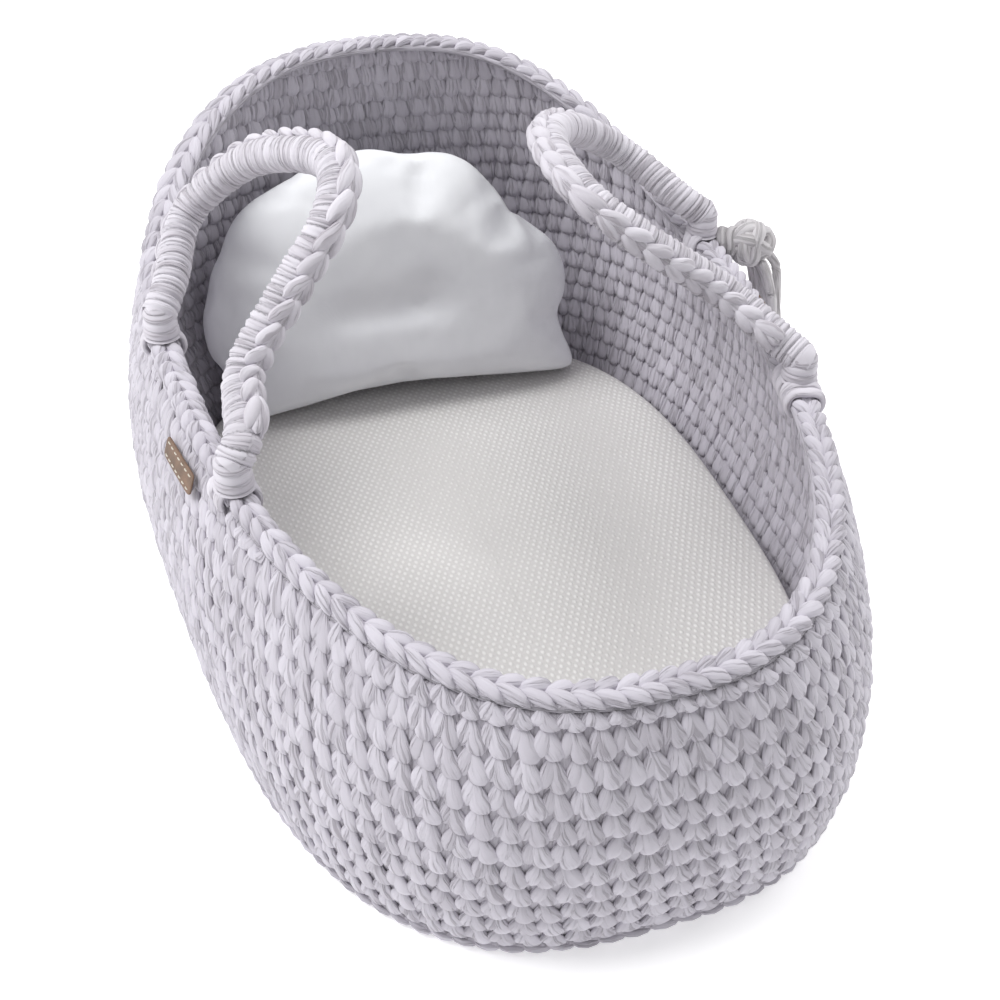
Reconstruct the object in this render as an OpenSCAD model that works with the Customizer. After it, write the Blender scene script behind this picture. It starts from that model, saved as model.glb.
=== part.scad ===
// Crocheted moses basket with two floppy rope handles, a mattress and a cloud pillow.
// Origin: centre of the underside.  +X points to the head end, +Y to the left side, +Z up.

/* [Basket] */
// Length of the base from foot to head
base_length = 800; // [760:10:840]
// Width of the base half way along
base_width = 536; // [500:4:560]
// Height of the rim at the foot end
foot_height = 225; // [215:5:235]
// How far the rim climbs at the head end, above its gentle rise
head_rise = 137; // [120:1:145]
// Where the steep climb of the rim starts, measured from the centre
climb_start = 120; // [100:5:130]
// Thickness of the crocheted wall
wall_thickness = 16; // [14:1:18]
// How far the wall swells outwards half way up
wall_swell = 26; // [22:1:32]

/* [Rim and base] */
// Width of the braid on the rim
rim_width = 24; // [22:1:26]
// Height of the braid on the rim
rim_height = 14; // [12:1:16]
// Height of the slip-stitched edge round the base
edge_height = 12; // [10:1:14]
// Thickness of the stiffening board
board_thickness = 4; // [3:1:5]

/* [Handles] */
// Radius of the rope inside a handle
rope_radius = 9; // [8:0.5:10]
// Outer radius of the wrapped handle
wrap_radius = 14; // [13:0.5:15]
// How far the left handle leans in over the basket, in degrees
left_lean = 42; // [34:1:46]
// How far the right handle leans in over the basket, in degrees
right_lean = 55; // [48:1:58]
// Where the left handle's rear foot stands, from the centre
left_rear_x = 90; // [86:1:94]
// Where the left handle's front foot stands, from the centre
left_front_x = -120; // [-124:1:-116]
// Where the right handle's rear foot stands, from the centre
right_rear_x = 130; // [125:1:135]
// Where the right handle's front foot stands, from the centre
right_front_x = -110; // [-115:1:-105]

/* [Bedding] */
// Height of the mattress
mattress_height = 38; // [34:1:42]
// Gap between the mattress and the wall
mattress_gap = 5; // [4:1:8]
// Thickness of the covers' cloth
cover_thickness = 1.6; // [1.2:0.1:2]
// Angle of the pillow from the mattress, in degrees
pillow_slope = 80; // [79:1:82]
// Where the front of the pillow stands, from the centre
pillow_x = 255; // [250:1:256]

/* [Trim] */
// Length of a leather label
label_length = 70; // [60:2:76]
// Height of a leather label
label_height = 16; // [14:2:26]
// Thickness of a leather label
label_thickness = 1.6; // [1.2:0.1:2]
// Radius of the knot
knot_radius = 20; // [18:1:22]
// Diameter of a hanging strand
strand_diameter = 9; // [8:0.5:9.5]

/* [Hidden] */

LILAC = [0.80, 0.78, 0.82];
half_length = base_length / 2;
half_width = base_width / 2;
side_slope = 0.09;        // gentle rise of the rim, per millimetre of length
base_roundness = 2.8;     // exponent of the oval outline, at the base
rim_roundness = 2.5;      // and at the rim
rim_taper_length = 15;    // how much shorter the oval is at the rim
rim_taper_width = 12;     // how much narrower the oval is at the rim
egg_at_base = 0.10;       // widening towards the head, at the base
egg_at_rim = 0.18;        // and at the rim
stations = 72;            // points round the oval
levels = 8;               // bands of the wall's faces, from bottom to top
clearance = 0.4;          // gap between soft pieces that touch
seam_gap = 0.2;           // gap between the rim's braid and the wall under it
board_gap = 6;            // gap between the stiffening board and the wall
band_length = 26;         // length of a foot band along the rim
band_thickness = 3;
band_skirt = 26;          // how far a foot band reaches down inside the wall
band_corner = 4;          // slope of the band's shoulders
braid_half_width = 9;     // braid along the outer side of a handle
braid_half_depth = 4.5;
braid_gap = 0.7;          // gap between that braid and the wrapping
braid_clear = 3;          // rings of the handle left without the braid at each end
label_drop = 24;          // rim top to the middle of a label
label_gap = 1.2;          // gap between a label and the wall behind it
label_probe = 20;         // half the stretch of wall that a label lies along
label_stitch = [5, 1, 0.8];
label_stitch_pitch = 9;
label_stitch_margin = 3;  // stitches to the label's edge
left_label_x = -50;
right_label_x = 16;
side_left = 1;
side_right = -1;
cloth_top = edge_height + board_thickness;

// ---- the basket's surface -------------------------------------------------

function rim_top(x) = foot_height + side_slope * (x + half_length)
    + head_rise * pow(max(0, (x - climb_start) / (half_length - climb_start)), 2);
function swell(u) = 4 * wall_swell * u * (1 - u);
function oval_a(u, inset) = half_length + swell(u) - rim_taper_length * u - inset;
function oval_b(u, inset) = half_width + swell(u) - rim_taper_width * u - inset;
function egg(u, x) = 1 + (egg_at_base + (egg_at_rim - egg_at_base) * u) * x / half_length;
function roundness(u) = base_roundness + (rim_roundness - base_roundness) * u;
function signed_power(v, u) = sign(v) * pow(abs(v), 2 / roundness(u));

// plan position on the oval: angle t, height fraction u, distance in from the outside
function plan(t, u, inset) =
    let (x = oval_a(u, inset) * signed_power(cos(t), u),
         y = oval_b(u, inset) * signed_power(sin(t), u))
    [x, y * egg(u, x)];
// half width of the oval at a stated x
function width_at(x, u, inset) = oval_b(u, inset) * egg(u, x)
    * pow(1 - pow(min(1, abs(x) / oval_a(u, inset)), roundness(u)), 1 / roundness(u));
// a point near the rim: angle, distance in, and height below the rim's top
function rim_point(t, inset, drop) =
    let (p = plan(t, 1, inset), q = plan(t, 1, wall_thickness / 2))
    [p[0], p[1], rim_top(q[0]) - drop];

// ---- lofts ----------------------------------------------------------------

function loft_faces(rows, sides, closed) = [
    for (r = [0 : rows - (closed ? 1 : 2)], s = [0 : sides - 1])
        let (n = (r + 1) % rows, e = (s + 1) % sides,
             a = r * sides + s, b = r * sides + e, c = n * sides + e, d = n * sides + s)
        for (f = [[a, d, b], [b, d, c]]) f];
// an end cap as a strip of triangles between the two halves of the section
function cap_faces(first, sides, flip) = [
    for (s = [0 : sides / 2 - 2])
        let (a = first + s, b = a + 1, d = first + sides - 1 - s, c = d - 1)
        for (f = [[a, b, d], [b, c, d]]) flip ? [f[2], f[1], f[0]] : f];
// a closed ring or a capped bar through a list of sections with equal, even point counts
module loft(sections, closed) {
    sides = len(sections[0]);
    rows = len(sections);
    polyhedron(points = [for (s = sections, p = s) p],
               faces = closed ? loft_faces(rows, sides, true)
                              : concat(loft_faces(rows, sides, false), cap_faces(0, sides, false),
                                       cap_faces((rows - 1) * sides, sides, true)));
}

// points of a smooth curve through a route, some steps to each stretch
function bend(p, q, r, s, w) = 0.5 * (2 * q + (r - p) * w + (2 * p - 5 * q + 4 * r - s) * w * w
    + (3 * q - p - 3 * r + s) * w * w * w);
function smooth(route, steps) =
    let (n = len(route), pts = concat([2 * route[0] - route[1]], route, [2 * route[n - 1] - route[n - 2]]))
    concat([for (i = [1 : n - 1], k = [0 : steps - 1])
                bend(pts[i - 1], pts[i], pts[i + 1], pts[i + 2], k / steps)],
           [route[n - 1]]);

// ---- base -----------------------------------------------------------------

function floor_outline(inset) = [for (i = [0 : stations - 1]) plan(i * 360 / stations, 0, inset)];

module base_mat() {
    color(LILAC) linear_extrude(edge_height)
        polygon(floor_outline(wall_thickness + clearance));
}
module base_board() {
    color([0.80, 0.68, 0.50]) translate([0, 0, edge_height])
        linear_extrude(board_thickness) polygon(floor_outline(wall_thickness + board_gap));
}
module base_edge() {
    color(LILAC) linear_extrude(edge_height) difference() {
        polygon(floor_outline(-2));
        polygon(floor_outline(wall_thickness));
    }
}

// ---- wall and rim ---------------------------------------------------------

function wall_section(t) =
    concat(
        [for (k = [0 : levels]) wall_level(t, k / levels, 0)],
        [for (k = [levels : -1 : 0]) wall_level(t, k / levels, wall_thickness)]);
function wall_level(t, f, inset) =
    let (q = plan(t, 1, wall_thickness / 2), height = rim_top(q[0]),
         z = edge_height + f * (height - rim_height - edge_height),
         p = plan(t, z / height, inset))
    [p[0], p[1], z];

module wall() {
    color(LILAC) loft([for (i = [0 : stations - 1]) wall_section(i * 360 / stations)], true);
}

rim_overhang = (rim_width - wall_thickness) / 2;
// the braid's section: flat where it sits on the wall, rounded above
function rim_section(t) = [
    rim_point(t, -rim_overhang + 2, rim_height - seam_gap),
    rim_point(t, -rim_overhang, rim_height * 0.65),
    rim_point(t, -rim_overhang + 1, rim_height * 0.3),
    rim_point(t, -rim_overhang + 6, 0),
    rim_point(t, wall_thickness + rim_overhang - 6, 0),
    rim_point(t, wall_thickness + rim_overhang - 1, rim_height * 0.3),
    rim_point(t, wall_thickness + rim_overhang, rim_height * 0.65),
    rim_point(t, wall_thickness + rim_overhang - 2, rim_height - seam_gap)];

module rim_braid() {
    color(LILAC) loft([for (i = [0 : stations - 1]) rim_section(i * 360 / stations)], true);
}

// ---- handles --------------------------------------------------------------

// The arches between their feet, each in its own plane: along the line of the feet, and away from it
LEFT_ARCH = [[125, 25], [170, 70], [145, 135], [90, 175], [30, 195], [-10, 170], [-25, 110], [-45, 45],
             [-95, 20]];
RIGHT_ARCH = [[130, 30], [160, 90], [130, 160], [50, 210], [-30, 205], [-60, 150], [-70, 70], [-105, 20]];
arch_steps = 4;
rope_sides = 10;

// height of the feet's line above the rim: band, gap and the handle's own radius
foot_lift = band_thickness + 1 + wrap_radius;
function foot(x, side) = [x, side * width_at(x, 1, wall_thickness / 2), rim_top(x) + foot_lift];
function unit(v) = v / norm(v);
function rear_foot(side) = foot(side == side_left ? left_rear_x : right_rear_x, side);
function front_foot(side) = foot(side == side_left ? left_front_x : right_front_x, side);
function along(side) = unit(rear_foot(side) - front_foot(side));
function middle(side) = (rear_foot(side) + front_foot(side)) / 2;
function steep(side) = unit([0, 0, 1] - along(side) * along(side)[2]);
function away(side, lean) = cos(lean) * steep(side) - sin(lean) * side
    * unit(cross(steep(side), along(side)));
function arch_point(side, lean, p) = middle(side) + p[0] * along(side) + p[1] * away(side, lean);
function half_span(side) = norm(rear_foot(side) - front_foot(side)) / 2;
function arch_route(side) = smooth(concat([[half_span(side), 0]], side == side_left ? LEFT_ARCH : RIGHT_ARCH,
                                          [[-half_span(side), 0]]), arch_steps);
// direction of the flat curve at point i; the ends stand square to the line of the feet
function arch_heading(pts, i) = i == 0 ? [0, 1] : i == len(pts) - 1 ? [0, -1]
    : unit(pts[i + 1] - pts[i - 1]);
// a ring round the arch: radius, shift to the outer side, and half widths of its section
function arch_ring(side, lean, pts, i, shift, across, thick) =
    let (h = arch_heading(pts, i), out = [h[1], -h[0]], n = cross(along(side), away(side, lean)))
    [for (s = [0 : rope_sides - 1])
        let (a = s * 360 / rope_sides, q = pts[i] + out * (shift + thick * cos(a)))
        arch_point(side, lean, q) + n * across * sin(a)];
function arch_rings(side, lean, first, last, shift, across, thick) =
    let (pts = arch_route(side))
    [for (i = [first : len(pts) - 1 - last]) arch_ring(side, lean, pts, i, shift, across, thick)];

module handle_rope(side, lean) {
    loft(arch_rings(side, lean, 0, 0, 0, rope_radius, rope_radius), false);
}
module handle_wrap(side, lean) {
    outer = arch_rings(side, lean, 0, 0, 0, wrap_radius, wrap_radius);
    inner = arch_rings(side, lean, 0, 0, 0, rope_radius + 0.1, rope_radius + 0.1);
    n = len(outer);
    // out along the outside and back along the inside, closed at both ends
    loft(concat(outer, [for (i = [n - 1 : -1 : 0]) inner[i]]), true);
}
module handle_braid(side, lean) {
    loft(arch_rings(side, lean, braid_clear, braid_clear, wrap_radius + braid_gap + braid_half_depth,
                    braid_half_width, braid_half_depth), false);
}

// a saddle over the rim under a handle's foot; its outer side is short, because the wall swells
function band_section(t, side) =
    let (low = band_skirt, out_low = rim_height - 1, gap = clearance, d = band_thickness,
         shoulder = rim_overhang - band_corner)
    [rim_point(t, -rim_overhang - gap - d, out_low), rim_point(t, -rim_overhang - gap - d, 2),
     rim_point(t, -shoulder, -gap - d),
     rim_point(t, wall_thickness + shoulder, -gap - d),
     rim_point(t, wall_thickness + rim_overhang + gap + d, 2),
     rim_point(t, wall_thickness + rim_overhang + gap + d, low),
     rim_point(t, wall_thickness + rim_overhang + gap, low),
     rim_point(t, wall_thickness + rim_overhang + gap, 2),
     rim_point(t, wall_thickness + shoulder, -gap),
     rim_point(t, -shoulder, -gap),
     rim_point(t, -rim_overhang - gap, 2), rim_point(t, -rim_overhang - gap, out_low)];
// angle on the oval at a stated x of the rim
function angle_at(x, side) = let (c = pow(abs(x) / oval_a(1, wall_thickness / 2), rim_roundness / 2))
    side * (x < 0 ? 180 - acos(c) : acos(c));
module band(x, side) {
    half = band_length / 2;
    loft([for (k = [-2 : 2]) band_section(angle_at(x + side * k * half / 2, side), side)], false);
}

module left_handle_rope() { color([0.86, 0.83, 0.78]) handle_rope(side_left, left_lean); }
module left_handle_wrap() { color(LILAC) handle_wrap(side_left, left_lean); }
module left_handle_braid() { color(LILAC) handle_braid(side_left, left_lean); }
module left_front_band() { color(LILAC) band(left_front_x, side_left); }
module left_rear_band() { color(LILAC) band(left_rear_x, side_left); }
module right_handle_rope() { color([0.86, 0.83, 0.78]) handle_rope(side_right, right_lean); }
module right_handle_wrap() { color(LILAC) handle_wrap(side_right, right_lean); }
module right_handle_braid() { color(LILAC) handle_braid(side_right, right_lean); }
module right_front_band() { color(LILAC) band(right_front_x, side_right); }
module right_rear_band() { color(LILAC) band(right_rear_x, side_right); }

// ---- labels ---------------------------------------------------------------

// places a flat piece against the outside of the wall, its Z axis pointing outwards
module on_wall(x, side) {
    z = rim_top(x) - label_drop;
    u = z / rim_top(x);
    y = width_at(x, u, 0);
    dx = label_probe;
    du = 0.05;
    turn = atan((width_at(x + dx, u, 0) - width_at(x - dx, u, 0)) / (2 * dx));
    tip = atan((width_at(x, u + du, 0) - width_at(x, u - du, 0)) / (2 * du * rim_top(x)));
    translate([x, side * (y + label_gap), z]) rotate([0, 0, side * turn])
        rotate([-side * (90 + tip), 0, 0]) children();
}
module label(x, side) {
    on_wall(x, side) translate([-label_length / 2, -label_height / 2, 0])
        cube([label_length, label_height, label_thickness]);
}
module label_thread(x, side) {
    on_wall(x, side) for (i = [-3 : 3], j = [-1, 1])
        translate([i * label_stitch_pitch - label_stitch[0] / 2,
                   j * (label_height / 2 - label_stitch_margin) - label_stitch[1] / 2, label_thickness])
            cube(label_stitch);
}
module left_label() { color([0.45, 0.33, 0.24]) label(left_label_x, side_left); }
module left_label_thread() { color([0.85, 0.82, 0.78]) label_thread(left_label_x, side_left); }
module right_label() { color([0.45, 0.33, 0.24]) label(right_label_x, side_right); }
module right_label_thread() { color([0.85, 0.82, 0.78]) label_thread(right_label_x, side_right); }

// ---- knot and hanging strands ---------------------------------------------

KNOT = [112, -299, 264];
module knot() {
    color(LILAC) translate(KNOT) sphere(r = knot_radius, $fn = 48);
}

// Routes of the strands: out of the knot, down and along the outside of the wall
STRANDS = [
    [[96, -303, 252], [91, -309, 238], [87, -315, 214],
     [85, -318, 190], [83, -320, 168], [82, -321, 150]],
    [[104, -306, 248], [102, -312, 234], [100, -318, 208],
     [99, -321, 182], [100, -323, 158], [101, -323, 138]],
    [[114, -306, 247], [114, -312, 232], [113, -318, 205],
     [113, -322, 180], [113, -324, 158], [112, -324, 142]],
    [[124, -304, 250], [127, -310, 236], [127, -316, 212],
     [127, -320, 188], [128, -322, 166], [129, -323, 148]],
    [[111, -315, 254], [108, -326, 240], [107, -330, 216],
     [107, -333, 194], [106, -335, 174], [107, -336, 158]]];
strand_steps = 2;
strand_sides = 8;

function strand_ring(pts, i) =
    let (last = len(pts) - 1, h = unit(pts[min(last, i + 1)] - pts[max(0, i - 1)]),
         u = unit(cross(h, [1, 0, 0])), v = cross(h, u))
    [for (s = [0 : strand_sides - 1]) let (a = -s * 360 / strand_sides)
        pts[i] + strand_diameter / 2 * (u * cos(a) + v * sin(a))];
module strand(route) {
    pts = smooth(route, strand_steps);
    color(LILAC) loft([for (i = [0 : len(pts) - 1]) strand_ring(pts, i)], false);
}

// ---- mattress -------------------------------------------------------------

mattress_bottom = cloth_top + 0.3;
module mattress_block(skin) {
    translate([0, 0, mattress_bottom + skin]) linear_extrude(mattress_height - 2 * skin)
        polygon(floor_outline(wall_thickness + mattress_gap + skin));
}
module mattress_foam() { color([0.95, 0.92, 0.80]) mattress_block(cover_thickness + 0.2); }
module mattress_cover() {
    color([0.93, 0.92, 0.90]) difference() {
        mattress_block(0);
        mattress_block(cover_thickness);
    }
}

// ---- pillow ---------------------------------------------------------------

pillow_bottom = mattress_bottom + mattress_height + 0.5;
edge_depth = 50;      // thickness of the pillow near its outline
middle_depth = 84;    // and in its middle
middle_inset = 34;    // how far the thick middle stays inside the outline
cloud_sink = 14;      // how much of the cloud's foot is cut off flat
// The lobes of the cloud: across, up the slope, radius
LOBES = [[128, 112, 80], [100, 172, 80], [25, 190, 90], [-35, 193, 78], [-95, 115, 88]];
module cloud(inset) {
    union() {
        for (lobe = LOBES) translate([lobe[0], lobe[1]]) circle(r = lobe[2] - inset, $fn = 60);
        polygon([[-188 + inset, inset], [-176 + inset, 110], [200 - inset, 110], [196 - inset, inset]]);
    }
}
// the cloud stood on its flat edge and leaned back on the head wall
module pillow_block(skin) {
    intersection() {
        translate([pillow_x, 0, pillow_bottom]) rotate([0, 90 - pillow_slope, 0])
            rotate([90, 0, 90]) translate([0, -cloud_sink, 0]) union() {
                translate([0, 0, skin]) linear_extrude(edge_depth - 2 * skin) cloud(skin);
                translate([0, 0, skin - (middle_depth - edge_depth) / 2])
                    linear_extrude(middle_depth - 2 * skin) cloud(middle_inset + skin);
            }
        translate([0, -300, pillow_bottom + skin]) cube([600, 600, 500]);
    }
}
module pillow_filling() { color([0.98, 0.98, 0.97]) pillow_block(cover_thickness + 0.2); }
module pillow_cover() {
    color([0.96, 0.96, 0.97]) difference() {
        pillow_block(0);
        pillow_block(cover_thickness);
    }
}

base_mat();
base_board();
base_edge();
wall();
rim_braid();
left_handle_rope();
left_handle_wrap();
left_handle_braid();
left_front_band();
left_rear_band();
right_handle_rope();
right_handle_wrap();
right_handle_braid();
right_front_band();
right_rear_band();
left_label();
left_label_thread();
right_label();
right_label_thread();
knot();
strand(STRANDS[0]);  // strand_1
strand(STRANDS[1]);  // strand_2
strand(STRANDS[2]);  // strand_3
strand(STRANDS[3]);  // strand_4
strand(STRANDS[4]);  // strand_5
mattress_foam();
mattress_cover();
pillow_filling();
pillow_cover();
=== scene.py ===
import math
import bmesh
import bpy
import numpy as np
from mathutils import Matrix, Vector


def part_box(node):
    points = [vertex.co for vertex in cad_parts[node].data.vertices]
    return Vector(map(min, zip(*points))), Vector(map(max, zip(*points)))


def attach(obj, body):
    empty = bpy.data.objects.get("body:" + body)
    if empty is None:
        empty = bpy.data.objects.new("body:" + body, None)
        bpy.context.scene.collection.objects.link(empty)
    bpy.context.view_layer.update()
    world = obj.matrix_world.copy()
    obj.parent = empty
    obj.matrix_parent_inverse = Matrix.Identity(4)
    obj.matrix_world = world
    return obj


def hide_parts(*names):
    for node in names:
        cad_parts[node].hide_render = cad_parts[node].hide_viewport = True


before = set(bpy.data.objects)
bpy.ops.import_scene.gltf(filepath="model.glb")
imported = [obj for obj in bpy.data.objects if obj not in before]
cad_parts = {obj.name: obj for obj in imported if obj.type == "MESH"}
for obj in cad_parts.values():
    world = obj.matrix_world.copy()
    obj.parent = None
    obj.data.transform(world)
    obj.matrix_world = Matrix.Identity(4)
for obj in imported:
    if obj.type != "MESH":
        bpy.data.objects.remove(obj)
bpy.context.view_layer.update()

rng = np.random.default_rng(7)
scene = bpy.context.scene

# ---- camera ---------------------------------------------------------------

cam_data = bpy.data.cameras.new("camera")
cam_data.lens = 47.2
cam_data.sensor_width = 36.0
cam = bpy.data.objects.new("camera", cam_data)
scene.collection.objects.link(cam)
cam.location = (-0.917, 0.286, 0.793)
cam.rotation_euler = (Vector((0.089, -0.040, 0.0345)) - cam.location).to_track_quat("-Z", "Y").to_euler()
scene.camera = cam
scene.view_settings.view_transform = "Standard"

# ---- the basket's surface, as in the CAD, in metres -----------------------

HALF_L, HALF_W = 0.400, 0.268
WALL, RIM_H, EDGE_H = 0.016, 0.014, 0.012


def rim_top(x):
    return 0.225 + 0.09 * (x + HALF_L) + 0.137 * np.maximum(0, (x - 0.12) / 0.28) ** 2


def plan(t, u, inset):
    swell = 4 * 0.026 * u * (1 - u)
    power = 2 / (2.8 - 0.3 * u)
    c, s = np.cos(t), np.sin(t)
    x = (HALF_L + swell - 0.015 * u - inset) * np.sign(c) * np.abs(c) ** power
    y = (HALF_W + swell - 0.012 * u - inset) * np.sign(s) * np.abs(s) ** power
    return x, y * (1 + (0.10 + 0.08 * u) * x / HALF_L)


TS = np.linspace(0, 2 * math.pi, 20001)


def arc_table(u, inset):
    x, y = plan(TS, u, inset)
    d = np.concatenate([[0], np.cumsum(np.hypot(np.diff(x), np.diff(y)))])
    return d / d[-1], d[-1]


ARC, ROUND_LEN = arc_table(0.5, 0.008)     # share of the round -> angle


def angle(s):
    return np.interp(np.mod(s, 1.0), ARC, TS)


def rim_x(t):
    return plan(t, 1.0, 0.008)[0]


def on_wall(s, z, inset):
    t = angle(s)
    x, y = plan(t, z / rim_top(rim_x(t)), inset)
    return np.stack([x, y, z + 0 * x], -1)


def on_rim(s, inset, h):
    t = angle(s)
    x, y = plan(t, 1.0, inset)
    return np.stack([x, y, rim_top(rim_x(t)) + h], -1)


def smooth(route, steps):
    """The CAD's smooth curve through a route."""
    r = np.array(route, float)
    p = np.vstack([2 * r[0] - r[1], r, 2 * r[-1] - r[-2]])
    out = []
    for i in range(1, len(r)):
        a, b, c, d = p[i - 1], p[i], p[i + 1], p[i + 2]
        for k in range(steps):
            w = k / steps
            out.append(0.5 * (2 * b + (c - a) * w + (2 * a - 5 * b + 4 * c - d) * w * w
                              + (3 * b - a - 3 * c + d) * w ** 3))
    return np.array(out + [r[-1]])


def resample(pts, n):
    """n points evenly along a line, and its length"""
    d = np.concatenate([[0], np.cumsum(np.linalg.norm(np.diff(pts, axis=0), axis=1))])
    at = np.linspace(0, d[-1], n)
    return np.stack([np.interp(at, d, pts[:, k]) for k in range(3)], -1), d[-1]


def unit(v):
    return v / np.maximum(np.linalg.norm(v, axis=-1, keepdims=True), 1e-12)


# ---- materials ------------------------------------------------------------

def material(name, rough, sheen=0.0):
    m = bpy.data.materials.new(name)
    m.use_nodes = True
    nt = m.node_tree
    b = nt.nodes["Principled BSDF"]
    b.inputs["Roughness"].default_value = rough
    b.inputs["Specular IOR Level"].default_value = 0.25
    if sheen:
        b.inputs["Sheen Weight"].default_value = sheen
        b.inputs["Sheen Roughness"].default_value = 0.5
    return m, nt, b


def ramp(nt, src, stops):
    r = nt.nodes.new("ShaderNodeValToRGB")
    el = r.color_ramp.elements
    while len(el) < len(stops):
        el.new(0.5)
    for e, (pos, col) in zip(el, stops):
        e.position = pos
        e.color = (*col, 1)
    nt.links.new(src, r.inputs[0])
    return r.outputs[0]


def maths(nt, op, a, b=None):
    n = nt.nodes.new("ShaderNodeMath")
    n.operation = op
    for i, v in enumerate((a, b)):
        if v is None:
            continue
        if isinstance(v, (int, float)):
            n.inputs[i].default_value = v
        else:
            nt.links.new(v, n.inputs[i])
    return n.outputs[0]


def bump(nt, height, bsdf, strength, distance, normal=None):
    b = nt.nodes.new("ShaderNodeBump")
    b.inputs["Strength"].default_value = strength
    b.inputs["Distance"].default_value = distance
    nt.links.new(height, b.inputs["Height"])
    if normal is not None:
        nt.links.new(normal, b.inputs["Normal"])
    nt.links.new(b.outputs[0], bsdf.inputs["Normal"])
    return b.outputs[0]


def noise(nt, vec, scale, detail=3.0, rough=0.55):
    n = nt.nodes.new("ShaderNodeTexNoise")
    n.inputs["Scale"].default_value = scale
    n.inputs["Detail"].default_value = detail
    n.inputs["Roughness"].default_value = rough
    nt.links.new(vec, n.inputs["Vector"])
    return n.outputs["Fac"]


def coords(nt, scale=(1, 1, 1), rot=(0, 0, 0), src=None):
    mp = nt.nodes.new("ShaderNodeMapping")
    mp.inputs["Scale"].default_value = scale
    mp.inputs["Rotation"].default_value = rot
    if src is None:
        src = nt.nodes.new("ShaderNodeTexCoord").outputs["Object"]
    nt.links.new(src, mp.inputs["Vector"])
    return mp.outputs[0]


def yarn(name, dark_tone_and_fold_shade, light, streaks=7.0):
    """Matte jersey yarn: folds along each strand with painted shade in them, a tone of its own, fine knit
    rows.
    """
    m, nt, b = material(name, 0.9, 0.2)
    uv = nt.nodes.new("ShaderNodeUVMap")
    uv.uv_map = "strand"
    tone = nt.nodes.new("ShaderNodeAttribute")
    tone.attribute_name = "tone"
    sep = nt.nodes.new("ShaderNodeSeparateXYZ")
    nt.links.new(uv.outputs[0], sep.inputs[0])
    com = nt.nodes.new("ShaderNodeCombineXYZ")
    wander = noise(nt, uv.outputs[0], 1.3, 1.0)
    nt.links.new(maths(nt, "ADD", maths(nt, "MULTIPLY", sep.outputs[0], streaks),
                       maths(nt, "MULTIPLY", wander, 1.6)), com.inputs[0])
    nt.links.new(maths(nt, "MULTIPLY", sep.outputs[1], 0.55), com.inputs[1])
    nt.links.new(maths(nt, "MULTIPLY", tone.outputs["Fac"], 60.0), com.inputs[2])
    folds = noise(nt, com.outputs[0], 1.0, 2.5, 0.5)
    # dark in the folds: painted shade; the same mask is the folds' bump height
    crease_and_painted_shade = ramp(nt, folds, [(0.36, (0, 0, 0)), (0.43, (0.72, 0.72, 0.72)), (0.56, (1, 1, 1))])
    mix = nt.nodes.new("ShaderNodeMix")
    mix.data_type = "RGBA"
    mix.inputs[6].default_value = (*dark_tone_and_fold_shade, 1)
    mix.inputs[7].default_value = (*light, 1)
    # mix factor: painted shade in the folds plus each strand's own random tone
    painted_fold_shade_and_tone = maths(nt, "ADD", maths(nt, "MULTIPLY", crease_and_painted_shade, 0.62),
                  maths(nt, "MULTIPLY", tone.outputs["Fac"], 0.38))
    nt.links.new(painted_fold_shade_and_tone, mix.inputs[0])
    nt.links.new(mix.outputs[2], b.inputs["Base Color"])
    fine = noise(nt, coords(nt), 900.0, 2.0)
    n1 = bump(nt, crease_and_painted_shade, b, 0.8, 0.0009)
    bump(nt, fine, b, 0.25, 0.0003, n1)
    return m


# each yarn's first colour is its darkest: painted shade in the folds meeting its darkest random tone
YARN = yarn("crochet_yarn_look", (0.375, 0.352, 0.395), (0.645, 0.620, 0.685))
HANDLE_YARN = yarn("handle_yarn_look", (0.45, 0.42, 0.465), (0.74, 0.715, 0.775), 4.0)
KNOT_YARN = yarn("strand_yarn_look", (0.38, 0.36, 0.37), (0.66, 0.64, 0.66), 6.0)


# ---- meshes ---------------------------------------------------------------

def build(name, verts, faces, uv=None, tone=None, mat=None, body="root", smooth_faces=True):
    """One object from arrays: vertices, quads, strand coordinates and tones per vertex."""
    verts = np.asarray(verts, np.float32).reshape(-1, 3)
    faces = np.asarray(faces, np.int32).reshape(-1, 4)
    me = bpy.data.meshes.new(name)
    me.vertices.add(len(verts))
    me.vertices.foreach_set("co", verts.ravel())
    me.loops.add(faces.size)
    me.loops.foreach_set("vertex_index", faces.ravel())
    me.polygons.add(len(faces))
    me.polygons.foreach_set("loop_start", np.arange(0, faces.size, 4, dtype=np.int32))
    me.update(calc_edges=True)
    me.polygons.foreach_set("use_smooth", np.full(len(faces), smooth_faces))
    if uv is not None:
        layer = me.uv_layers.new(name="strand")
        layer.data.foreach_set("uv", np.asarray(uv, np.float32).reshape(-1, 2)[faces.ravel()].ravel())
    if tone is not None:
        at = me.attributes.new("tone", "FLOAT", "POINT")
        at.data.foreach_set("value", np.asarray(tone, np.float32).ravel())
    me.update()
    ob = bpy.data.objects.new(name, me)
    scene.collection.objects.link(ob)
    if mat:
        me.materials.append(mat)
    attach(ob, body)
    return ob


def grid_faces(rows, cols, wrap_rows=False, wrap_cols=False):
    r = np.arange(rows if wrap_rows else rows - 1)[:, None]
    c = np.arange(cols if wrap_cols else cols - 1)[None, :]
    r2, c2 = (r + 1) % rows, (c + 1) % cols
    return np.stack(np.broadcast_arrays(r * cols + c, r * cols + c2, r2 * cols + c2, r2 * cols + c),
                    -1).reshape(-1, 4)


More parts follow.
